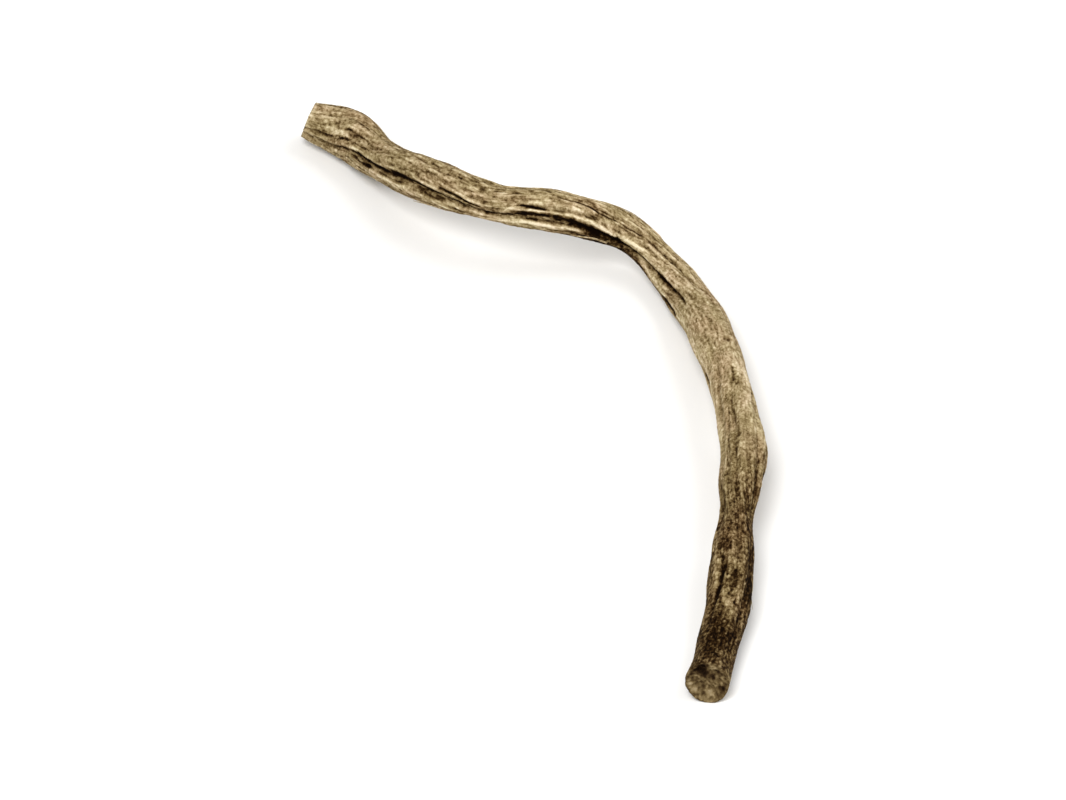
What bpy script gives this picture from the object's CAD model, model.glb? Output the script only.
"""A dried, cut valerian root on a pale table: its fine bark, its cut faces and its split fibres."""
import math
from types import SimpleNamespace

import bpy
import numpy as np
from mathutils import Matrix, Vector


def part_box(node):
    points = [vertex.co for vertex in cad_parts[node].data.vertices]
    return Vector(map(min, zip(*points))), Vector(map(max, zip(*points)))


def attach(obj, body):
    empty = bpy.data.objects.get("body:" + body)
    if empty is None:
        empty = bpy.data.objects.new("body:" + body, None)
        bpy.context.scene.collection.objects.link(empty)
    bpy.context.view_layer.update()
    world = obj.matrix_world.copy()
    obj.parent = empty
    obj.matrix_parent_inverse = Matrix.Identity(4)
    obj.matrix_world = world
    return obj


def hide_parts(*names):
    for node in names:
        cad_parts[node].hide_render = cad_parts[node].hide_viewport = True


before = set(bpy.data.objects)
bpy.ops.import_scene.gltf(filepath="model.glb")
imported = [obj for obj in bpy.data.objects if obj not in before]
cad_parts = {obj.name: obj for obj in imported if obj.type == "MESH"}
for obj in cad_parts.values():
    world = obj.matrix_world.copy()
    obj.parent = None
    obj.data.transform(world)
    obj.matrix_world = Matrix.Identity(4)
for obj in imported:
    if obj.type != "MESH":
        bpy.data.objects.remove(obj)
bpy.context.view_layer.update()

MM = 0.001
UP = np.array([0.0, 0.0, 1.0])
rng = np.random.default_rng(20)

# The root's form, in millimetres, from the same tables as in the part's own source. Only six furrows of
# its lower half and the top of the flared end's dish are shallower here. Places along the root are shares
# of its length, from 0 at the blunt end to 1 at the flared end. Places round it are degrees: 0 on top, 90
# on the right-hand side going along.

# Middle line: x, y and the height of the underside above the table.
COURSE = [
    (-16.8, 32.1, 0.6),
    (-13.35, 30.19, 0.42),
    (-11.2, 27.0, 0.6),
    (-7.9, 22.9, 2.2),
    (-2.6, 18.75, 3.4),
    (2.55, 17.45, 3.3),
    (7.9, 17.1, 1.6),
    (11.55, 13.48, -0.05),
    (14.65, 5.1, 0.9),
    (16.3, -4.0, 1.7),
    (17.0, -10.9, 1.9),
    (16.3, -18.7, 1.6),
    (15.9, -24.7, 0.8),
    (15.15, -29.7, 0.03),
    (14.05, -35.35, 0.2),
]
MEAN_RADIUS = 1.65

# Radius over the ridges: place along, millimetres.
RADIUS = [
    (0.0, 1.5),
    (0.02, 1.8),
    (0.045, 2.06),
    (0.09, 1.76),
    (0.12, 1.76),
    (0.17, 1.92),
    (0.24, 1.6),
    (0.29, 1.78),
    (0.34, 1.66),
    (0.39, 1.42),
    (0.44, 1.66),
    (0.5, 1.74),
    (0.56, 1.7),
    (0.62, 1.62),
    (0.67, 1.74),
    (0.71, 1.9),
    (0.75, 1.78),
    (0.79, 1.43),
    (0.84, 1.78),
    (0.88, 1.86),
    (0.94, 1.73),
    (0.975, 1.64),
    (1.0, 1.77),
]

# How far the grain, and the furrows with it, has turned round the root: place along, degrees.
GRAIN_TURN = [
    (0.0, 34),
    (0.03, 26),
    (0.06, 7),
    (0.1, -8),
    (0.15, -8),
    (0.2, 10),
    (0.24, 18),
    (0.28, 4),
    (0.31, 4),
    (0.345, 19),
    (0.38, 9),
    (0.42, -14),
    (0.46, -25),
    (0.5, -32),
    (0.6, -33),
    (0.64, -20),
    (0.68, -6),
    (0.72, -1),
    (0.75, -8),
    (0.79, -29),
    (0.83, -36),
    (0.88, -38),
    (0.93, -31),
    (1.0, -28),
]

# Main furrows of shrinkage: place round where the grain has no turn, from and to along, depth, and how
# dark each is, from 0 for no darker than the bark around it.
MAIN_FURROWS = [
    (75, -0.2, 0.5, 0.48, 0.3),
    (97.5, 0.045, 0.105, 0.34, 0.2),
    (45, -0.2, 0.105, 0.22, 0.12),
    (30, 0.035, 0.11, 0.14, 0.1),
    (52.5, 0.11, 0.16, 0.16, 0.15),
    (45, 0.25, 0.34, 0.34, 0.15),
    (7.5, 0.28, 0.49, 0.24, 0.12),
    (30, 0.33, 0.44, 0.16, 0.12),
    (0.0, 0.1, 0.28, 0.12, 0.12),
    (52.5, 0.46, 0.62, 0.14, 0.16),
    (22.5, 0.58, 0.84, 0.16, 0.08),
    (45, 0.62, 0.8, 0.12, 0.05),
    (-7.5, 0.66, 0.84, 0.08, 0.03),
    (60, 0.83, 0.96, 0.24, 0.12),
    (22.5, 0.84, 0.95, 0.22, 0.1),
    (-15, 0.84, 1.2, 0.2, 0.12),
    (-37.5, 0.05, 0.36, 0.2, 0.3),
    (-60, 0.28, 0.62, 0.26, 0.3),
    (142.5, -0.2, 0.44, 0.3, 0.5),
    (120, 0.56, 1.2, 0.26, 0.35),
    (165, 0.3, 1.2, 0.32, 0.55),
    (187.5, -0.2, 0.5, 0.28, 0.4),
    (202.5, 0.46, 1.2, 0.26, 0.35),
    (225, -0.2, 0.62, 0.38, 0.7),
    (240, 0.5, 1.2, 0.3, 0.5),
    (262.5, -0.2, 1.2, 0.32, 0.5),
    (285, 0.6, 1.2, 0.22, 0.3),
    (292.5, -0.2, 0.3, 0.26, 0.4),
]
SHORT_FURROWS = 60  # scattered between the main ones
GRAIN_STEP = 7.5  # degrees between the lines that short furrows may follow

# Cracks and thin ridges of the skin: from and to along, from and to round where the grain has no turn,
# half of the width, and how dark each is, below 0 for a pale ridge.
CREASES = [
    (0.008, 0.065, 40, 46, 0.1, 0.4),
    (0.065, 0.1, 46, 42, 0.1, 0.4),
    (0.008, 0.06, 60, 75, 0.11, 0.5),
    (0.04, 0.085, 25, 23, 0.09, 0.4),
    (0.067, 0.092, 68, 66, 0.13, 0.85),
    (0.088, 0.125, 66, 76, 0.16, 0.85),
    (0.07, 0.102, 87, 85, 0.12, 0.95),
    (0.12, 0.165, 76, 68, 0.19, 0.8),
    (0.16, 0.2, 67, 68, 0.16, 0.9),
    (0.195, 0.235, 68, 68, 0.12, 0.95),
    (0.19, 0.235, 47, 56, 0.11, 0.75),
    (0.165, 0.2, 84, 87, 0.15, 0.35),
    (0.2, 0.225, 97, 94, 0.12, 0.35),
    (0.115, 0.15, 90, 93, 0.12, 0.3),
    (0.27, 0.3, 84, 80, 0.12, 0.35),
    (0.233, 0.252, 56, 52, 0.16, 0.5),
    (0.235, 0.262, 75, 68, 0.14, 0.8),
    (0.255, 0.295, 60, 63, 0.19, 0.95),
    (0.262, 0.288, 36, 48, 0.12, 0.9),
    (0.29, 0.322, 64, 68, 0.22, 1.0),
    (0.303, 0.335, 68, 72, 0.36, 0.75),
    (0.32, 0.37, 69, 66, 0.2, 1.0),
    (0.36, 0.4, 68, 70, 0.19, 1.0),
    (0.39, 0.45, 70, 70, 0.14, 0.85),
    (0.44, 0.485, 71, 76, 0.13, 0.55),
    (0.278, 0.288, -16, -9, 0.1, 0.45),
    (0.256, 0.265, 1, 4, 0.1, 0.4),
    (0.316, 0.328, 44, 37, 0.12, 0.45),
    (0.332, 0.341, 41, 44, 0.1, 0.4),
    (0.308, 0.33, 6, 18, 0.11, 0.75),
    (0.328, 0.348, 18, 13, 0.09, 0.6),
    (0.356, 0.38, 20, 4, 0.1, 0.45),
    (0.378, 0.425, 4, 3, 0.1, 0.25),
    (0.366, 0.395, -53, -58, 0.13, 0.8),
    (0.6, 0.625, 22, 24, 0.09, 0.34),
    (0.662, 0.68, 22, 23, 0.09, 0.4),
    (0.712, 0.726, 21, 19, 0.09, 0.34),
    (0.65, 0.74, 48, 38, 0.26, 0.12),
    (0.745, 0.79, 21, 28, 0.14, 0.08),
    (0.773, 0.783, 0, -3, 0.12, 0.25),
    (0.83, 0.855, 114, 104, 0.2, 0.4),
    (0.85, 0.86, 70, 58, 0.14, 0.35),
    (0.866, 0.886, 54, 58, 0.19, 0.55),
    (0.888, 0.912, 59, 57, 0.16, 0.5),
    (0.869, 0.893, 24, 14, 0.19, 0.4),
    (0.9, 0.912, 12, 4, 0.2, 0.2),
    (0.91, 0.94, 69, 47, 0.3, 0.2),
    (0.014, 0.06, 20, 40, 0.17, -0.7),
    (0.064, 0.088, 39, 31, 0.15, -0.45),
    (0.067, 0.11, 57, 63, 0.16, -0.7),
    (0.062, 0.1, 78, 77, 0.1, -0.8),
    (0.108, 0.2, 63, 55, 0.14, -0.4),
    (0.07, 0.2, 103, 103, 0.16, -0.6),
    (0.195, 0.27, 85, 93, 0.15, -0.6),
    (0.252, 0.274, 84, 89, 0.15, -0.9),
    (0.27, 0.3, 89, 96, 0.16, -0.9),
    (0.298, 0.318, 92, 86, 0.14, -0.8),
    (0.25, 0.3, 49, 52, 0.14, -0.9),
    (0.3, 0.325, 51, 54, 0.15, -0.8),
    (0.316, 0.352, 49, 56, 0.18, -1.0),
    (0.346, 0.392, 56, 39, 0.18, -1.0),
    (0.386, 0.45, 86, 106, 0.12, -0.5),
    (0.66, 0.74, 80, 56, 0.4, -0.3),
    (0.59, 0.71, -18, -44, 0.4, -0.25),
    (0.778, 0.79, 14, 8, 0.1, -0.4),
    (0.868, 0.892, 74, 67, 0.11, -0.6),
    (0.9, 0.925, 34, 14, 0.3, -0.4),
    (0.858, 0.864, 72, 72, 0.11, -0.7),
    (0.86, 0.866, 28, 28, 0.11, -0.5),
]

# The same sort of cracks and ridges, scattered over the side that the photograph doesn't show: how many,
# and from and to round.
HIDDEN_CREASES = 70
HIDDEN_SIDE = (112, 300)

# Scars where rootlets broke off: place along, place round, radius, depth.
SCARS = [
    (0.558, -22, 0.3, 0.12),
    (0.627, -14, 0.26, 0.12),
    (0.702, 13, 0.26, 0.12),
    (0.23, 24, 0.34, 0.12),
    (0.45, -112, 0.5, 0.2),
    (0.82, 150, 0.45, 0.22),
]

# Stumps of rootlets: place along, place round, lean in degrees, thickness, height.
STUMPS = {
    "stump_behind": (0.21, -122, 24, 0.9, 0.5),
    "stump_below": (0.665, -150, 30, 1.05, 0.6),
}

# How far each cut leans from square, backwards and sideways, in degrees.
BLUNT_CUT = (14, 10)
FLARED_CUT = (-7, 5)
SKEW_LENGTH = 0.08  # the share of the root over which its rings come to lean like the cut
CORE_ROUNDNESS = 0.88  # towards its middle a cut face gets round, at this share of the radius

# Each cut face from its rim to its middle: share of the outline, depth below the rim.
BLUNT_FACE = [
    (0.93, 0.03),
    (0.74, 0.16),
    (0.46, 0.2),
    (0.34, 0.06),
    (0.16, 0.02),
]
FLARED_FACE = [
    (0.93, 0.02),
    (0.83, 0.15),
    (0.65, 0.28),
    (0.43, 0.32),
    (0.2, 0.3),
]

# Pits in the flared face: share of the way to the rim, place round, radius, depth.
PITS = [
    (0.7, 22, 0.42, 0.4),
    (0.5, -8, 0.36, 0.22),
    (0.56, -44, 0.34, 0.26),
    (0.3, 140, 0.4, 0.14),
]

# Marks on the flared face: share of the way to the rim, place round, radius, change of tone.
FACE_MARKS = [
    (0.34, 25, 0.22, -0.35),
    (0.36, -58, 0.22, -0.4),
    (0.84, -64, 0.3, -0.3),
    (0.33, 128, 0.22, -0.25),
    (0.22, -129, 0.2, -0.2),
    (0.9, -130, 0.34, -0.25),
    (0.85, -108, 0.3, -0.25),
    (0.76, 34, 0.36, -0.3),
    (0.7, 12, 0.22, -0.15),
    (0.86, -20, 0.3, 0.22),
    (0.9, -42, 0.26, 0.12),
    (0.93, 62, 0.2, 0.15),
    (0.64, -16, 0.24, 0.25),
    (0.55, -73, 0.22, 0.22),
    (0.78, 104, 0.34, 0.28),
    (0.64, 180, 0.26, 0.15),
    (0.76, -161, 0.24, 0.2),
]

FLAT_DEPTH = 0.12  # how deep the lowest places are worn flat

# The colours, told as tones from 0 for the darkest to 1 for the palest.
BARK_TONE = 0.54

# Tints of the bark's patches, as screen colours that multiply its own, and how little dry tissue shines.
OLIVE = (206, 214, 176)
ROSY = (228, 206, 196)
DRY_GLOSS = 0.03

# How far the bark darkens towards the flared end: place along, loss of tone.
DARKENING = [
    (0.0, 0.0),
    (0.69, 0.0),
    (0.745, 0.075),
    (0.79, 0.18),
    (0.9, 0.19),
    (0.925, 0.23),
    (0.945, 0.31),
    (0.968, 0.3),
    (0.982, 0.21),
    (1.0, 0.15),
]

# How strongly the skin is lined along the grain: place along, share.
LINING = [
    (0.0, 1.0),
    (0.43, 1.0),
    (0.52, 0.5),
    (0.7, 0.5),
    (0.8, 0.55),
    (0.84, 0.9),
    (1.0, 0.8),
]

# Paler and darker places: along, round, reach along, reach round, change of tone.
STAINS = [
    (0.0, 50, 0.003, 100, 0.18),
    (0.09, 112, 0.07, 13, 0.05),
    (0.24, 116, 0.05, 12, 0.06),
    (0.35, 110, 0.045, 24, -0.42),
    (0.42, 112, 0.04, 22, -0.2),
    (0.45, 64, 0.03, 12, -0.1),
    (0.58, 82, 0.1, 14, 0.12),
    (0.6, -38, 0.022, 22, 0.1),
    (0.66, -48, 0.05, 26, 0.07),
    (0.775, -48, 0.045, 24, -0.07),
    (0.842, 12, 0.008, 30, -0.1),
    (0.875, -82, 0.05, 26, -0.16),
    (0.856, -10, 0.012, 34, 0.06),
    (0.99, 12, 0.014, 50, -0.12),
    (0.955, 8, 0.018, 34, -0.05),
    (0.18, 116, 0.14, 12, -0.1),
    (0.978, 62, 0.02, 24, 0.12),
]

# Fibres split from the skin: from and to along, from and to round, lift of the loose end, thickness.
FIBRES = [
    (0.347, 0.309, 111, 104, 0.16, 0.17),
    (0.062, 0.1, 106, 98, 0.1, 0.12),
    (0.19, 0.157, 122, 127, 0.14, 0.09),
    (0.03, 0.003, -72, -66, 0.16, 0.1),
    (0.33, 0.37, -36, -46, 0.1, 0.08),
    (0.51, 0.47, 62, 70, 0.1, 0.08),
    (0.6, 0.645, -120, -112, 0.2, 0.09),
    (0.77, 0.74, 160, 152, 0.18, 0.1),
    (0.86, 0.895, -96, -104, 0.16, 0.09),
    (0.972, 0.995, -152, -148, 0.1, 0.12),
    (0.966, 0.994, 132, 128, 0.1, 0.1),
]

# How fine the mesh and its relief are.
RINGS = 510  # along the bark
SIDES = 180  # round it
FACE_RINGS = 20  # from the rim of a cut face to its middle
WRINKLES = 1200
WAVES = 64  # added up in one patchy pattern
STUMP_RINGS = 15
STUMP_SIDES = 28
FIBRE_RINGS = 22
FIBRE_SIDES = 8

# The root's own map, in shares of its width: the bark in strips side by side, and each cut face as a disc.
STRIPS = 3
STRIP_WIDTH = 0.28
STRIP_GAP = 0.006
DISC_MIDDLES = ((0.93, 0.1), (0.93, 0.3))
DISC_RADIUS = 0.055

# The picture: how steeply the camera looks down in degrees, its lens in millimetres, the share of the
# picture's height that the root takes, and that height over the picture's width.
LOOK_DOWN = 40
LENS = 1200
ROOT_SHARE = 0.75
PICTURE_SHAPE = 800 / 1066

# Lights: place and size in metres, power in watts. Each shines at the origin.
LIGHTS = {
    "key": ((-0.12, -0.3, 0.5), 0.36, 3.4),
    "fill": ((0.35, 0.1, 0.4), 0.4, 1.4),
}
SKY_COLOUR = (1.0, 0.995, 0.985, 1)
SKY_STRENGTH = 0.5
HALF_FLOOR = 3000  # half of the table's width, in millimetres


def ease(x, low, high):
    """0 below low, 1 above high, and smooth between them."""
    x = np.clip((x - low) / (high - low), 0, 1)
    return x * x * (3 - 2 * x)


def degrees_between(a, b):
    return (a - b + 180) % 360 - 180


def scattered(index, kind):
    """The same scattered number between 0 and 1 each time for the same two whole numbers."""
    wide = math.sin(index * 12.9898 + kind * 78.233) * 43758.5453
    return wide - math.floor(wide)


def smooth_table(rows, places):
    """Values of a smooth curve through rows of (place, value)."""
    x, y = np.array(rows, float).T
    secant = np.diff(y) / np.diff(x)
    slope = np.concatenate([secant[:1], (secant[1:] + secant[:-1]) / 2, secant[-1:]])
    i = np.clip(np.searchsorted(x, places, side="right") - 1, 0, len(x) - 2)
    width = x[i + 1] - x[i]
    p = np.clip((places - x[i]) / width, 0, 1)
    return (
        y[i] * (2 * p**3 - 3 * p**2 + 1)
        + slope[i] * width * (p**3 - 2 * p**2 + p)
        + y[i + 1] * (3 * p**2 - 2 * p**3)
        + slope[i + 1] * width * (p**3 - p**2)
    )


def through_course(t):
    """Points of the middle line, a centripetal Catmull-Rom curve, for t from 0 at its first knot to 1."""
    knots = np.array([(x, y, lift + MEAN_RADIUS) for x, y, lift in COURSE])
    knots = np.vstack([2 * knots[0] - knots[1], knots, 2 * knots[-1] - knots[-2]])
    last = len(COURSE) - 2
    i = np.minimum((t * (last + 1)).astype(int), last)
    p = (t * (last + 1) - i)[:, None]  # from 0 at one knot to 1 at the next
    a, b, c, d = (knots[i + k] for k in range(4))
    ab, bc, cd = (
        np.sqrt(np.linalg.norm(end - start, axis=1))[:, None]
        for start, end in ((a, b), (b, c), (c, d))
    )
    leave = ((b - a) / ab - (c - a) / (ab + bc) + (c - b) / bc) * bc
    arrive = ((c - b) / bc - (d - b) / (bc + cd) + (d - c) / cd) * bc
    return (
        b
        + leave * p
        + (3 * (c - b) - 2 * leave - arrive) * p**2
        + (2 * (b - c) + leave + arrive) * p**3
    )


def row_lengths(rows):
    return np.linalg.norm(rows, axis=1, keepdims=True)


# How far along the middle line each of many points of it is.
CURVE_SHARES = np.linspace(0, 1, 2001)
CURVE_STEPS = row_lengths(np.diff(through_course(CURVE_SHARES), axis=0))
DISTANCES = np.concatenate([[0], np.cumsum(CURVE_STEPS)])
LENGTH = DISTANCES[-1]


def stations(places):
    """The middle of the root at each place, with the directions along, up and to the right-hand side."""
    t = np.interp(places * LENGTH, DISTANCES, CURVE_SHARES)
    step = 1e-4
    centre = through_course(t)
    along = through_course(np.minimum(t + step, 1)) - through_course(np.maximum(t - step, 0))
    along /= row_lengths(along)
    right = np.cross(along, UP)
    right /= row_lengths(right)
    return centre, along, np.cross(right, along), right


def outwards(station, rounds):
    """Directions out from the middle line, one row of them for each station."""
    _, _, up, right = station
    angle = np.radians(rounds)[..., None]
    return np.cos(angle) * up[:, None] + np.sin(angle) * right[:, None]


def all_furrows():
    """The main furrows, with the short ones scattered between them as in the part's source."""
    short = []
    for index in range(SHORT_FURROWS):
        start = 1.1 * scattered(index, 1) - 0.1
        line = GRAIN_STEP * math.floor(360 / GRAIN_STEP * scattered(index, 2))
        end = start + 0.09 + 0.2 * scattered(index, 3)
        depth = 0.08 + 0.13 * scattered(index, 4)
        short.append((line, start, end, depth, 0.6 * depth))
    return MAIN_FURROWS + short


def furrows_over(places, grain):
    """The furrows' depth, as in the source but wavering a little, and how dark each point is in one."""
    deepest = np.zeros((len(places), len(grain)))
    shallower, dark_in = deepest.copy(), deepest.copy()
    for line, start, end, depth, dark in all_furrows():
        waver = 1.6 * np.sin(53 * places + line) + 0.9 * np.sin(131 * places + 2 * line)
        off = degrees_between(grain, line + waver[:, None]) / (GRAIN_STEP + 10 * depth)
        fading = min(0.05, 0.4 * (end - start))
        fade = ease(places, start, start + fading) * (1 - ease(places, end - fading, end))
        uneven = 0.82 + 0.18 * np.sin(41 * places + line)
        strength = (fade * uneven)[:, None]
        here = depth * strength * np.exp(-(np.abs(off) ** 1.6))
        shallower += np.minimum(here, deepest)
        deepest = np.maximum(here, deepest)
        dark_in = np.maximum(dark_in, dark * strength * np.exp(-((off / 0.5) ** 2)))
    firm_end = (1 - 0.78 * ease(places, 0.93, 0.985))[:, None]
    return (deepest + 0.4 * shallower) * firm_end, dark_in * firm_end


def all_creases():
    """The cracks and ridges that the photograph shows, with those scattered over the hidden side."""
    hidden = []
    for _ in range(HIDDEN_CREASES):
        start, length = rng.uniform(0, 0.97), rng.uniform(0.01, 0.06)
        line, slant = rng.uniform(*HIDDEN_SIDE), rng.uniform(-6, 6)
        dark = rng.choice([-0.6, 0.5, 0.9])
        hidden.append((start, start + length, line, line + slant, rng.uniform(0.1, 0.2), dark))
    return CREASES + hidden


def creases_over(places, grain):
    """How far each point is in a dark crack of the skin, and on a pale thin ridge."""
    cracks = np.zeros((len(places), len(grain)))
    ridges = cracks.copy()
    wander = 2.8 * patches(places, grain, 2.4, 2.4) + 1.4 * patches(places, grain, 0.7, 0.8)
    ragged = 1 + 0.4 * patches(places, grain, 0.6, 0.6)
    for start, end, first, last, width, dark in all_creases():
        share = (places - start) / (end - start)
        line = first + (last - first) * np.clip(share, 0, 1)
        beside = np.radians(degrees_between(grain, line[:, None]) + wander) * MEAN_RADIUS / width
        window = (ease(share, -0.06, 0.16) * (1 - ease(share, 0.84, 1.06)))[:, None]
        here = window * np.exp(-((beside * ragged) ** 2))
        if dark > 0:
            cracks = np.maximum(cracks, dark * here)
        else:
            ridges = np.maximum(ridges, -dark * here)
    broken = 0.95 + 0.3 * patches(places, grain, 1.4, 1.2) + 0.25 * patches(places, grain, 0.4, 0.6)
    uneven = 0.85 + 0.4 * patches(places, grain, 1.3, 0.8)
    return cracks * np.clip(broken, 0.45, 1.1), ridges * uneven * (1 - cracks)


def scars_over(places, rounds):
    """The scars' depth, and how far each point is in the dark middle of one."""
    depth, dark = np.zeros_like(rounds), np.zeros_like(rounds)
    for place, line, radius, deep in SCARS:
        beside = np.radians(degrees_between(rounds, line)) * MEAN_RADIUS
        off = np.hypot((places[:, None] - place) * LENGTH, beside) / radius
        depth += deep * (np.exp(-(off**2)) - 0.4 * np.exp(-4 * (off - 1.6) ** 2))
        dark += np.exp(-((off / 0.9) ** 2))
    return depth, dark


def stains_over(places, rounds):
    """How much paler or darker each point is for lying in a stain."""
    change = np.zeros_like(rounds)
    for place, line, reach, breadth, tone in STAINS:
        off = np.hypot((places[:, None] - place) / reach, degrees_between(rounds, line) / breadth)
        change += tone * (1 - ease(off, 0.6, 1.5))
    return change


def lumps(places, rounds):
    """The root is never quite round or even: a slight oval that turns along it, and slow lumps."""
    angle = np.radians(rounds)
    along = places[:, None]
    return (
        0.06 * np.cos(2 * angle - 7 * along)
        + 0.05 * np.sin(23 * along + angle)
        + 0.045 * np.sin(61 * along - angle + 1.3)
        + 0.035 * np.sin(97 * along + 3 * angle + 0.5)
    )


def wrinkles_over(places, grain):
    """Long thin creases of the dried skin, scattered all over, from 0 between them to 1 in the deepest."""
    total = np.zeros((len(places), len(grain)))
    for _ in range(WRINKLES):
        start = rng.uniform(-0.05, 1)
        length = rng.uniform(0.015, 0.12)
        line = rng.uniform(0, 360)
        width = rng.uniform(1.5, 3.4)
        depth = rng.uniform(0.2, 1)
        bend, phase = rng.uniform(0, 5), rng.uniform(0, 6)
        rows = (places > start) & (places < start + length)
        share = (places[rows, None] - start) / length
        off = degrees_between(grain, line + bend * np.sin(5 * share + phase)) / width
        here = depth * np.sqrt(np.sin(np.pi * share)) * np.exp(-np.abs(off) ** 1.5)
        total[rows] = np.maximum(total[rows], here)
    return total


def patches(places, grain, along, beside):
    """Smooth scattered values, mostly from -1 to 1, in patches of a size along and beside the grain."""
    turns = rng.uniform(0, 2 * math.pi, WAVES)
    reach = rng.uniform(0.35, 1.6, WAVES)
    down = np.outer(places, math.pi * LENGTH / along * reach * np.cos(turns))
    waves_round = np.round(math.pi * MEAN_RADIUS / beside * reach * np.sin(turns))
    over = np.outer(waves_round, np.radians(grain)) + rng.uniform(0, 2 * math.pi, (WAVES, 1))
    return 0.6 * (np.sin(down) @ np.cos(over) + np.cos(down) @ np.sin(over)) / math.sqrt(WAVES)


def cloud(x, y, size):
    """Smooth scattered values from -1 to 1 over a plane near its origin, in patches of about that size."""
    half = 16
    values = rng.uniform(-1, 1, (2 * half + 2, 2 * half + 2))
    u = np.clip(x / size, -half, half) + half
    v = np.clip(y / size, -half, half) + half
    i, j = u.astype(int), v.astype(int)
    a, b = ease(u - i, 0, 1), ease(v - j, 0, 1)
    near = values[i, j] * (1 - b) + values[i, j + 1] * b
    far = values[i + 1, j] * (1 - b) + values[i + 1, j + 1] * b
    return near * (1 - a) + far * a


def blurred_round(values, reach):
    """Each row averaged over its neighbours round the root."""
    steps = range(-reach, reach + 1)
    return sum(np.roll(values, step, axis=1) for step in steps) / len(steps)


def skew(places, rounds):
    """How far a ring's points slide along the root, for each millimetre of radius, to lean to the cuts."""
    angle = np.radians(rounds)
    to_blunt, to_flared = (
        np.cos(angle) * math.tan(math.radians(back)) + np.sin(angle) * math.tan(math.radians(side))
        for back, side in (BLUNT_CUT, FLARED_CUT)
    )
    lean = np.where((places < 0.5)[:, None], to_blunt, to_flared)
    return lean * (1 - ease(np.minimum(places, 1 - places), 0, SKEW_LENGTH))[:, None]


def bark_grid():
    """The bark as a grid of points, along and round, with its radius and its tone."""
    places = np.linspace(0, 1, RINGS + 1)
    grain = np.arange(SIDES) * 360 / SIDES
    rounds = grain + smooth_table(GRAIN_TURN, places)[:, None]
    lining = smooth_table(LINING, places)[:, None]
    furrow_depth, furrow_dark = furrows_over(places, grain)
    cracks, ridges = creases_over(places, grain)
    scar_depth, scar_dark = scars_over(places, rounds)
    lower = ease(places, 0.73, 0.79)[:, None]
    wrinkles = wrinkles_over(places, grain) * lining
    strands = patches(places, grain, 5, 0.4) * lining
    dashes = patches(places, grain, 0.9, 0.18) * lining * (1 - 0.5 * lower)
    mottle = patches(places, grain, 2, 1)
    specks = 0.4 * patches(places, grain, 0.4, 0.3) + 0.8 * patches(places, grain, 0.24, 0.18)

    # The shape, in millimetres.
    radius = smooth_table(RADIUS, places)[:, None] + lumps(places, rounds) - furrow_depth - scar_depth
    radius += 0.05 * ridges - 0.15 * cracks - 0.04 * wrinkles
    radius += 0.012 * strands + 0.02 * dashes + 0.02 * specks

    # The tone: crests and ridges are paler, and hollows and cracks are darker.
    relief = np.tanh((radius - blurred_round(radius, 9)) / 0.12)
    tone = BARK_TONE - smooth_table(DARKENING, places)[:, None] + stains_over(places, rounds)
    tone += 0.08 * relief + 0.42 * ridges - 0.7 * cracks
    tone -= 0.5 * furrow_dark + 0.09 * wrinkles + 0.26 * scar_dark
    tone += 0.04 * strands + 0.14 * dashes
    tone += (0.03 + 0.05 * lower) * mottle + (0.12 + 0.05 * lower) * specks

    station = stations(places)
    centre, along = station[0][:, None], station[1][:, None]
    leaning = outwards(station, rounds) + skew(places, rounds)[..., None] * along
    points = centre + radius[..., None] * leaning
    return SimpleNamespace(points=points, radius=radius, tone=tone, places=places, grain=grain)


def face_depth(table, share):
    """How deep a cut face lies below its rim, straight between the rings of its table."""
    rows = [(1.0, 0.0), *table, (0.0, table[-1][1])]
    return np.interp(share, *zip(*reversed(rows)))


def fissures_over(share, grain, count, reach):
    """Cracks of a cut face that run from its middle to its rim, from 0 between them to 1 in the deepest."""
    total = np.zeros((len(share), len(grain)))
    for _ in range(count):
        line, width, deep = rng.uniform(0, 360), rng.uniform(1.5, 6), rng.uniform(0.1, 1)
        bend = rng.uniform(-40, 40)
        inner, outer = rng.uniform(*reach[0]), rng.uniform(*reach[1])
        window = ease(share, inner - 0.1, inner) * (1 - ease(share, outer, outer + 0.08))
        off = degrees_between(grain, line + bend * (share - 0.5)) / width
        total = np.maximum(total, deep * window * np.exp(-(off**2)))
    return total


def blunt_face(share, grain, up, right):
    """Depth and tone of the blunt end: cracked cortex, a dark ring and a woody core."""
    fissures = fissures_over(share, grain, 16, ((0.4, 0.7), (0.66, 0.92)))
    crumbs = 0.7 * cloud(up, right, 0.16) + 0.6 * cloud(up, right, 0.3)
    edge = share - 0.38 + 0.07 * cloud(up, right, 0.45)
    ring = np.exp(-((edge / 0.05) ** 2)) * (0.75 + 0.5 * cloud(up, right, 0.4))
    core = 1 - ease(edge, -0.08, 0.02)
    depth = face_depth(BLUNT_FACE, share) + 0.11 * fissures + 0.05 * crumbs
    tone = 0.56 - 0.36 * fissures - 0.3 * ring + 0.04 * core + 0.16 * crumbs
    return depth, tone + 0.12 * cloud(up, right, 0.6)


def spots_over(rows, up, right):
    """The sum of round soft spots on the flared face."""
    total = np.zeros_like(up)
    for out, line, radius, weight in rows:
        middle = out * smooth_table(RADIUS, 1.0)
        angle = math.radians(line)
        off = np.hypot(up - middle * math.cos(angle), right - middle * math.sin(angle)) / radius
        total += weight * np.exp(-(off**2))
    return total


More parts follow.
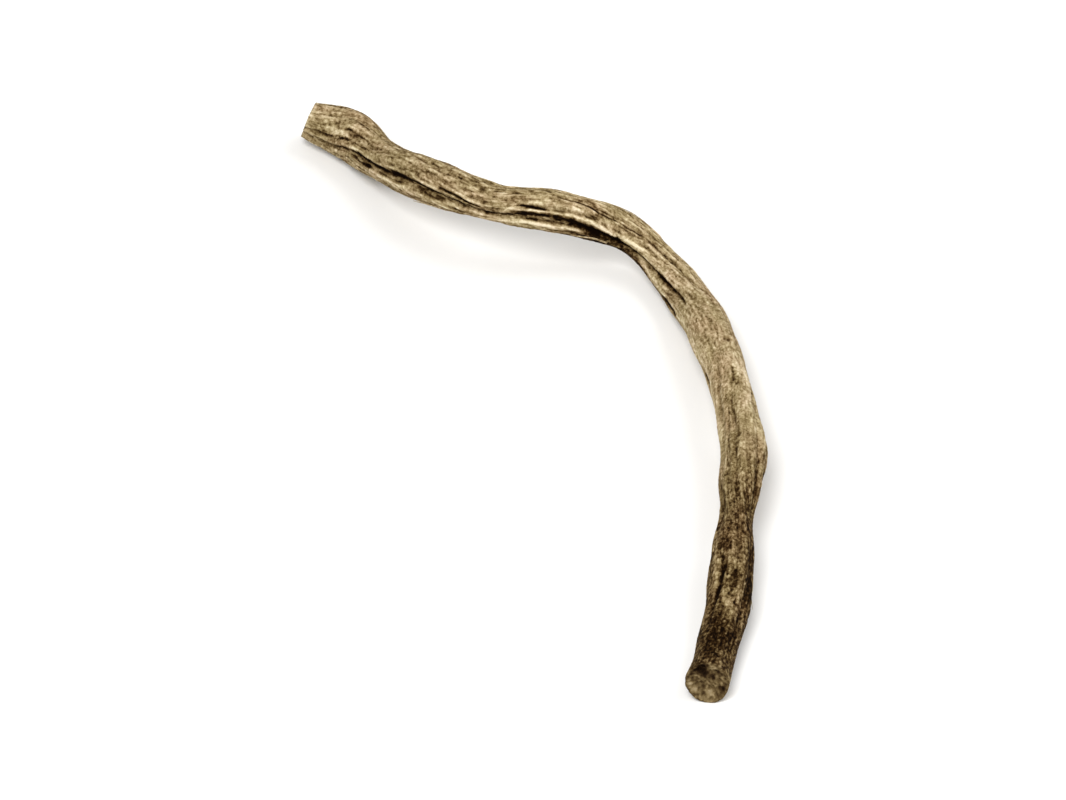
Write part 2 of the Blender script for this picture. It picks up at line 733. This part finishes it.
def flared_face(share, grain, up, right):
    """Depth and tone of the flared end: a rotted, pitted dish with a streaked wall."""
    bent_up = up + 0.16 * cloud(up, right, 0.45)
    bent_right = right + 0.16 * cloud(up, right, 0.45)
    pits = spots_over(PITS, bent_up, bent_right) * ease(1 - share, 0, 0.06)
    fissures = fissures_over(share, grain, 30, ((0.3, 0.75), (0.76, 0.9)))
    crumbs = 0.6 * cloud(up, right, 0.3) + 0.5 * cloud(up, right, 0.16)
    shallow = 0.5 * ease(up, 0.1, 1.1)
    depth = face_depth(FLARED_FACE, share) * (1 - shallow) + pits + 0.06 * fissures + 0.05 * crumbs
    wall = ease(share, 0.5, 0.75) * ease(-up, 0, 1)
    rot = ease(up + 0.5 * cloud(up, right, 0.6), -0.6, 0.9) * ease(1 - share, 0.0, 0.3)
    marks = spots_over(FACE_MARKS, bent_up, bent_right)
    tone = 0.39 - 0.3 * pits - 0.05 * rot - 0.14 * fissures - 0.3 * crumbs + 0.04 * wall + marks
    darkest = 0.06
    return depth, np.maximum(tone, darkest)


def face_grid(end, bark):
    """The points of a cut face, from just inside its rim to near its middle, with their tone. The end is
    0 for the blunt one and 1 for the flared one."""
    place = np.array([float(end)])
    rim = -1 if end else 0
    rounds = bark.grain + smooth_table(GRAIN_TURN, place)[:, None]
    round_radius = CORE_ROUNDNESS * smooth_table(RADIUS, place)[:, None]
    share = np.linspace(1, 0, FACE_RINGS + 1)[1:-1, None]
    r = share * (share * bark.radius[rim] + (1 - share) * round_radius)
    up, right = r * np.cos(np.radians(rounds)), r * np.sin(np.radians(rounds))
    face = flared_face if end else blunt_face
    depth, tone = face(share, bark.grain, up, right)
    near_rim = ease(share, 0.82, 1.0)
    tone = tone * (1 - near_rim) + bark.tone[rim] * near_rim
    station = stations(place)
    centre, along = station[:2]
    slide = (r * skew(place, rounds))[..., None] * along
    inward = -along if end else along
    points = centre + r[..., None] * outwards(station, rounds) + slide + depth[..., None] * inward
    return SimpleNamespace(points=points, tone=tone, share=share + 0 * r)


def new_object(name, points, faces, materials, smooth=True):
    """An object in the scene from points in millimetres."""
    mesh = bpy.data.meshes.new(name)
    mesh.from_pydata((np.asarray(points) * MM).tolist(), [], faces)
    if smooth:
        mesh.shade_smooth()
    for material in materials:
        mesh.materials.append(material)
    piece = bpy.data.objects.new(name, mesh)
    bpy.context.scene.collection.objects.link(piece)
    return piece


def add_numbers(piece, name, values):
    """Gives each vertex a number or a vector that the materials read by name."""
    values = np.asarray(values, np.float32)
    vector = values.ndim == 2
    layer = piece.data.attributes.new(name, "FLOAT_VECTOR" if vector else "FLOAT", "POINT")
    layer.data.foreach_set("vector" if vector else "value", values.ravel())


def settle(points):
    """The shift that brings points to the solid's place, with the spots to be worn flat below the table."""
    box = np.array(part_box("root")) / MM
    low, high = points.min(axis=0), points.max(axis=0)
    shift = (box[0] + box[1] - low - high) / 2
    shift[2] = -low[2] - FLAT_DEPTH
    return shift


def root_piece(bark, bark_look, cut_look):
    """The bark and both cut faces as one closed mesh, and the shift that brought it to its place."""
    blunt, flared = face_grid(0, bark), face_grid(1, bark)
    centres = [face.points[-1].mean(axis=0) for face in (blunt, flared)]
    rings = np.concatenate([blunt.points[::-1], bark.points, flared.points])
    vertices = np.vstack([rings.reshape(-1, 3), centres])
    shift = settle(vertices)
    vertices += shift
    vertices[:, 2] = np.maximum(vertices[:, 2], 0)

    ring, side = np.mgrid[0 : len(rings) - 1, 0:SIDES]
    here, after = ring * SIDES + side, ring * SIDES + (side + 1) % SIDES
    corners = np.stack([here, after, after + SIDES, here + SIDES], axis=-1).reshape(-1, 4)
    total = len(rings) * SIDES
    around = np.arange(SIDES)
    beside = (around + 1) % SIDES
    start_fan = np.stack([np.full(SIDES, total), beside, around], axis=-1)
    last = total - SIDES
    end_fan = np.stack([np.full(SIDES, total + 1), last + around, last + beside], axis=-1)
    all_faces = corners.tolist() + start_fan.tolist() + end_fan.tolist()
    piece = new_object("root_bark", vertices, all_faces, [bark_look, cut_look])

    inner = FACE_RINGS - 1
    on_bark = (ring >= inner) & (ring < inner + RINGS)
    slots = np.concatenate([np.where(on_bark, 0, 1).ravel(), np.ones(2 * SIDES)]).astype(np.int32)
    piece.data.polygons.foreach_set("material_index", slots)

    straight = grain_places(bark, blunt, flared)
    add_numbers(piece, "grain", straight)
    tones = np.concatenate([blunt.tone[::-1], bark.tone, flared.tone]).ravel()
    add_numbers(piece, "tone", np.append(tones, [blunt.tone[-1].mean(), flared.tone[-1].mean()]))
    lay_out_map(piece, ring, side, on_bark, straight)
    return piece, shift


def grain_places(bark, blunt, flared):
    """Each point's place as if the root were straight and the grain ran along it, in millimetres."""
    arc = np.radians(bark.grain)[None]
    round_it = np.stack([np.cos(arc), np.sin(arc)], axis=-1) * MEAN_RADIUS

    def laid(distance, share):
        return np.concatenate([distance[..., None], share[..., None] * round_it], axis=-1)

    even = np.ones_like(bark.tone)
    grids = [
        laid(0 * blunt.share, blunt.share)[::-1],
        laid((bark.places * LENGTH)[:, None] * even, even),
        laid(LENGTH + 0 * flared.share, flared.share),
    ]
    return np.vstack([np.concatenate(grids).reshape(-1, 3), [(0, 0, 0), (LENGTH, 0, 0)]])


def lay_out_map(piece, ring, side, on_bark, straight):
    """The root's own map: the bark in strips side by side, and each cut face as a disc beside them."""
    bark_ring = ring - (FACE_RINGS - 1)
    strip = np.clip(bark_ring * STRIPS // RINGS, 0, STRIPS - 1)
    strip_rings = RINGS // STRIPS
    left = strip * (STRIP_WIDTH + STRIP_GAP) + STRIP_GAP
    corner_ring = np.stack([bark_ring, bark_ring, bark_ring + 1, bark_ring + 1], axis=-1)
    corner_side = np.stack([side, side + 1, side + 1, side], axis=-1)
    up_strip = (corner_ring - (strip * strip_rings)[..., None]) / strip_rings
    u = left[..., None] + STRIP_WIDTH * corner_side / SIDES
    v = STRIP_GAP + (1 - 2 * STRIP_GAP) * up_strip
    quads = np.stack([u, v], axis=-1).reshape(-1, 4, 2)

    loops = np.empty(len(piece.data.loops), np.int32)
    piece.data.loops.foreach_get("vertex_index", loops)
    flared_end = (straight[loops, 0] > LENGTH / 2).astype(int)
    discs = np.array(DISC_MIDDLES)[flared_end]
    coordinates = discs + DISC_RADIUS * straight[loops, 1:] / MEAN_RADIUS
    chosen = np.flatnonzero(on_bark.ravel())
    loop_at = (chosen[:, None] * 4 + np.arange(4)).ravel()
    coordinates[loop_at] = quads[chosen].reshape(-1, 2)
    layer = piece.data.uv_layers.new(name="OFBake")
    layer.uv.foreach_set("vector", coordinates.astype(np.float32).ravel())


def tube(centres, radii, sides, roughness):
    """Points and faces of a closed tube along centres, uneven by a share of its radius."""
    along = np.gradient(centres, axis=0)
    along /= row_lengths(along)
    slant = [0.31, 0.2, 0.93]  # no tube runs this way
    across = np.cross(along, slant)
    across /= row_lengths(across)
    third = np.cross(along, across)
    angle = np.arange(sides) * 2 * math.pi / sides
    uneven = 1 + roughness * rng.uniform(-1, 1, (len(centres), sides))
    r = radii[:, None] * uneven
    points = (
        centres[:, None]
        + (r * np.cos(angle))[..., None] * across[:, None]
        + (r * np.sin(angle))[..., None] * third[:, None]
    )
    count = len(centres) * sides
    faces = []
    for start in range(0, count - sides, sides):
        for side in range(sides):
            after = (side + 1) % sides
            faces.append((start + side, start + after, start + sides + after, start + sides + side))
    faces += [(count, (side + 1) % sides, side) for side in range(sides)]
    last = count - sides
    faces += [(count + 1, last + side, last + (side + 1) % sides) for side in range(sides)]
    return np.vstack([points.reshape(-1, 3), centres[0], centres[-1]]), faces


def stump_piece(name, shift, bark_look):
    """A short broken rootlet that bends along the root as it leaves it."""
    place, line, lean, thickness, height = STUMPS[name]
    station = stations(np.array([place]))
    out = outwards(station, np.array([[float(line)]]))[0, 0]
    centre, along = station[0][0], station[1][0]
    radius = float(smooth_table(RADIUS, place))
    sunk = 0.6 * radius
    reach = radius - sunk + height
    share = np.linspace(0, 1, STUMP_RINGS)
    bend = np.radians(lean) * share
    centres = (
        centre
        + (sunk + reach * share * np.cos(bend))[:, None] * out
        + (reach * share * np.sin(bend))[:, None] * along
    )
    worn_edge = np.where(share > 0.97, 0.75, 1)
    radii = thickness / 2 * (1.4 - 0.35 * share) * worn_edge
    points, faces = tube(centres, radii, STUMP_SIDES, roughness=0.06)
    piece = new_object(name, points + shift, faces, [bark_look])
    add_numbers(piece, "grain", points[:, [2, 0, 1]])
    add_numbers(piece, "tone", 0.48 + rng.uniform(-0.16, 0.16, len(points)))
    return piece


def fibre(bark, start, end, first_line, last_line, lift, thickness):
    """Points and faces of a split fibre that leaves the bark at a slant, thins out and ends loose."""
    share = np.linspace(0, 1, FIBRE_RINGS)
    places = start + (end - start) * share
    lines = first_line + (last_line - first_line) * share + 1.5 * np.sin(7 * share + 60 * start)
    grain = lines - smooth_table(GRAIN_TURN, places)
    row = np.rint(places * RINGS).astype(int)
    column = np.rint(grain / 360 * SIDES).astype(int)
    reach = 4
    under = np.array([
        np.take(bark.radius[r], range(c - reach, c + reach + 1), mode="wrap").max()
        for r, c in zip(row, column)
    ])
    window = 7
    under = np.convolve(np.pad(under, window // 2, mode="edge"), np.ones(window) / window, mode="valid")
    height = under + lift * share**1.5 - 0.35 * thickness * (1 - share) ** 2
    station = stations(places)
    centres = station[0] + height[:, None] * outwards(station, lines[:, None])[:, 0]
    radii = thickness / 2 * (1 - 0.65 * share**2) * (1 + 0.12 * np.sin(19 * share))
    return tube(centres, radii, FIBRE_SIDES, roughness=0.1)


def fibres_piece(bark, shift, bark_look):
    """All the split fibres, in one mesh."""
    all_points, all_faces = [], []
    count = 0
    for row in FIBRES:
        points, faces = fibre(bark, *row)
        all_points.append(points)
        all_faces += [tuple(corner + count for corner in face) for face in faces]
        count += len(points)
    points = np.vstack(all_points) + shift
    piece = new_object("split_fibres", points, all_faces, [bark_look])
    add_numbers(piece, "grain", points[:, [1, 0, 2]])
    add_numbers(piece, "tone", 0.66 + rng.uniform(-0.12, 0.12, len(points)))
    return piece


def linear(red, green, blue):
    """A screen colour, 0 to 255, as the linear colour that a shader takes."""
    def one(value):
        value /= 255
        return value / 12.92 if value <= 0.04045 else ((value + 0.055) / 1.055) ** 2.4
    return one(red), one(green), one(blue), 1


class Nodes:
    """Builds one material's nodes. Each call adds a node and gives its output."""

    def __init__(self, name):
        self.material = bpy.data.materials.new(name)
        self.material.use_nodes = True
        self.tree = self.material.node_tree
        self.shader = self.tree.nodes["Principled BSDF"]

    def add(self, kind, output=0, inputs=(), **settings):
        node = self.tree.nodes.new(kind)
        for key, value in settings.items():
            setattr(node, key, value)
        for key, value in dict(inputs).items():
            self.feed(node.inputs[key], value)
        return node.outputs[output]

    def feed(self, socket, value):
        if isinstance(value, bpy.types.NodeSocket):
            self.tree.links.new(value, socket)
        else:
            socket.default_value = value

    def number(self, name, output="Fac"):
        return self.add("ShaderNodeAttribute", output, attribute_name=name)

    def noise(self, place, stretch, scale, detail, roughness):
        moved = self.add("ShaderNodeVectorMath", inputs={0: place, 1: stretch}, operation="MULTIPLY")
        return self.add(
            "ShaderNodeTexNoise",
            "Fac",
            {"Vector": moved, "Scale": scale, "Detail": detail, "Roughness": roughness},
        )

    def math(self, operation, a, b=0.0, c=0.0):
        return self.add("ShaderNodeMath", inputs={0: a, 1: b, 2: c}, operation=operation)

    def ranged(self, value, low, high, to_low, to_high):
        return self.add(
            "ShaderNodeMapRange",
            inputs={0: value, 1: low, 2: high, 3: to_low, 4: to_high},
            interpolation_type="SMOOTHSTEP",
        )

    def add_noises(self, tone, *noises):
        """The tone with noises added, each so much either way of its middle."""
        for noise, weight in noises:
            centred = self.math("SUBTRACT", noise, 0.5)
            tone = self.math("MULTIPLY_ADD", centred, weight, tone)
        return tone

    def ramp(self, value, stops):
        node = self.tree.nodes.new("ShaderNodeValToRGB")
        self.feed(node.inputs[0], value)
        elements = node.color_ramp.elements
        while len(elements) < len(stops):
            elements.new(0.5)
        for element, (position, colour) in zip(elements, stops):
            element.position = position
            element.color = linear(*colour)
        return node.outputs[0]

    def tinted(self, colour, tint, factor):
        """The colour multiplied by a tint, as far as the factor says."""
        node = self.tree.nodes.new("ShaderNodeMix")
        node.data_type = "RGBA"
        node.blend_type = "MULTIPLY"
        colours, result = (6, 7), 2  # where this node keeps its colours
        self.feed(node.inputs[0], factor)
        self.feed(node.inputs[colours[0]], colour)
        self.feed(node.inputs[colours[1]], linear(*tint))
        return node.outputs[result]

    def bump(self, height, distance, strength):
        inputs = {"Height": height, "Distance": distance, "Strength": strength}
        return self.add("ShaderNodeBump", inputs=inputs)

    def finish(self, **inputs):
        """The material, with these inputs given to its shader."""
        for key, value in inputs.items():
            self.feed(self.shader.inputs[key.replace("_", " ")], value)
        return self.material


def bark_material():
    """Dry root bark: pale crests, near-black clefts, fine lines along the grain, olive and rosy patches."""
    n = Nodes("bark")
    place = n.number("grain", "Vector")
    hairs = n.noise(place, (0.13, 1, 1), 7, 4, 0.6)
    blotches = n.noise(place, (0.6, 1, 1), 1.7, 3, 0.6)
    specks = n.noise(place, (0.8, 1, 1), 4.6, 3, 0.7)
    grit = n.noise(place, (0.8, 1, 1), 12, 3, 0.7)
    tone = n.add_noises(n.number("tone"), (hairs, 0.5), (blotches, 0.3), (specks, 0.95), (grit, 0.4))
    colour = n.ramp(tone, [
        (0.04, (12, 4, 0)),
        (0.2, (46, 29, 9)),
        (0.36, (94, 75, 47)),
        (0.52, (136, 117, 84)),
        (0.66, (164, 145, 112)),
        (0.8, (194, 176, 144)),
        (1.0, (224, 210, 182)),
    ])
    hue = n.noise(place, (0.5, 1, 1), 0.55, 4, 0.65)
    colour = n.tinted(colour, OLIVE, n.ranged(hue, 0.42, 0.62, 0.0, 0.3))
    colour = n.tinted(colour, ROSY, n.ranged(hue, 0.5, 0.32, 0.0, 0.3))
    height = n.math("MULTIPLY_ADD", hairs, 0.7, n.math("MULTIPLY", grit, 0.5))
    return n.finish(
        Base_Color=colour,
        Roughness=n.ranged(grit, 0.2, 0.8, 0.76, 0.96),
        Specular_IOR_Level=DRY_GLOSS,
        Normal=n.bump(height, 0.12 * MM, 0.6),
    )


def cut_material():
    """The cut tissue: crumbly, tan to near black, with no gloss."""
    n = Nodes("cut_tissue")
    place = n.number("grain", "Vector")
    crumb = n.noise(place, (1, 1, 1), 4.5, 4, 0.7)
    cells = n.noise(place, (1, 1, 1), 15, 3, 0.7)
    tone = n.add_noises(n.number("tone"), (crumb, 0.42), (cells, 0.3))
    colour = n.ramp(tone, [
        (0.04, (20, 10, 4)),
        (0.2, (56, 40, 22)),
        (0.36, (94, 77, 49)),
        (0.54, (138, 119, 84)),
        (0.74, (176, 158, 126)),
        (0.95, (212, 196, 164)),
    ])
    return n.finish(
        Base_Color=colour,
        Roughness=n.ranged(cells, 0.2, 0.8, 0.82, 0.98),
        Specular_IOR_Level=DRY_GLOSS,
        Normal=n.bump(n.math("ADD", crumb, cells), 0.15 * MM, 0.7),
    )


def floor_material():
    """A pale, matt table top with faint clouds."""
    n = Nodes("table")
    place = n.add("ShaderNodeTexCoord", "Object")
    clouds = n.noise(place, (1, 1, 1), 3, 3, 0.5)
    colour = n.ramp(clouds, [(0.3, (234, 233, 231)), (0.7, (238, 237, 235))])
    return n.finish(Base_Color=colour, Roughness=0.7, Specular_IOR_Level=0.2)


def lay_floor():
    h = HALF_FLOOR
    corners = [(-h, -h, 0), (h, -h, 0), (h, h, 0), (-h, h, 0)]
    floor = new_object("table_top", corners, [(0, 1, 2, 3)], [floor_material()], smooth=False)


def add_light(name, place, size, power):
    data = bpy.data.lights.new(name, "AREA")
    data.shape = "DISK"
    data.size = size
    data.energy = power
    light = bpy.data.objects.new(name, data)
    light.location = place
    light.rotation_euler = (-Vector(place)).to_track_quat("-Z", "Y").to_euler()
    bpy.context.scene.collection.objects.link(light)


def light_scene():
    """An even pale sky, the key light from the front left and a weaker light from the right."""
    world = bpy.data.worlds.new("studio")
    world.use_nodes = True
    background = world.node_tree.nodes["Background"]
    background.inputs["Color"].default_value = SKY_COLOUR
    background.inputs["Strength"].default_value = SKY_STRENGTH
    bpy.context.scene.world = world
    for name, row in LIGHTS.items():
        add_light(name, *row)
    bpy.context.scene.view_settings.view_transform = "Standard"


def aim_camera(piece):
    """Looks down at the root from the front, as the photograph does, with a very long lens."""
    elevation = math.radians(LOOK_DOWN)
    data = bpy.data.cameras.new("camera")
    data.lens = LENS
    towards = Vector((0, -math.cos(elevation), math.sin(elevation)))
    rise = Vector((0, math.sin(elevation), math.cos(elevation)))
    points = np.array([v.co for v in piece.data.vertices])
    heights = points @ np.array(rise)
    middle_x = (points[:, 0].min() + points[:, 0].max()) / 2
    middle_rise = (heights.min() + heights.max()) / 2
    depth = (points @ np.array(towards)).mean()
    target = Vector((middle_x, 0, 0)) + rise * middle_rise + towards * depth
    picture_height = (heights.max() - heights.min()) / ROOT_SHARE
    distance = picture_height * data.lens / (data.sensor_width * PICTURE_SHAPE)
    camera = bpy.data.objects.new("camera", data)
    camera.location = target + towards * distance
    camera.rotation_euler = (-towards).to_track_quat("-Z", "Y").to_euler()
    bpy.context.scene.collection.objects.link(camera)
    bpy.context.scene.camera = camera


bark_look = bark_material()
cut_look = cut_material()
bark = bark_grid()
root, shift = root_piece(bark, bark_look, cut_look)
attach(root, "root")
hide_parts("root")
smaller = [stump_piece(name, shift, bark_look) for name in STUMPS]
smaller.append(fibres_piece(bark, shift, bark_look))
for piece in smaller:
    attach(piece, "root")

lay_floor()
light_scene()
aim_camera(root)
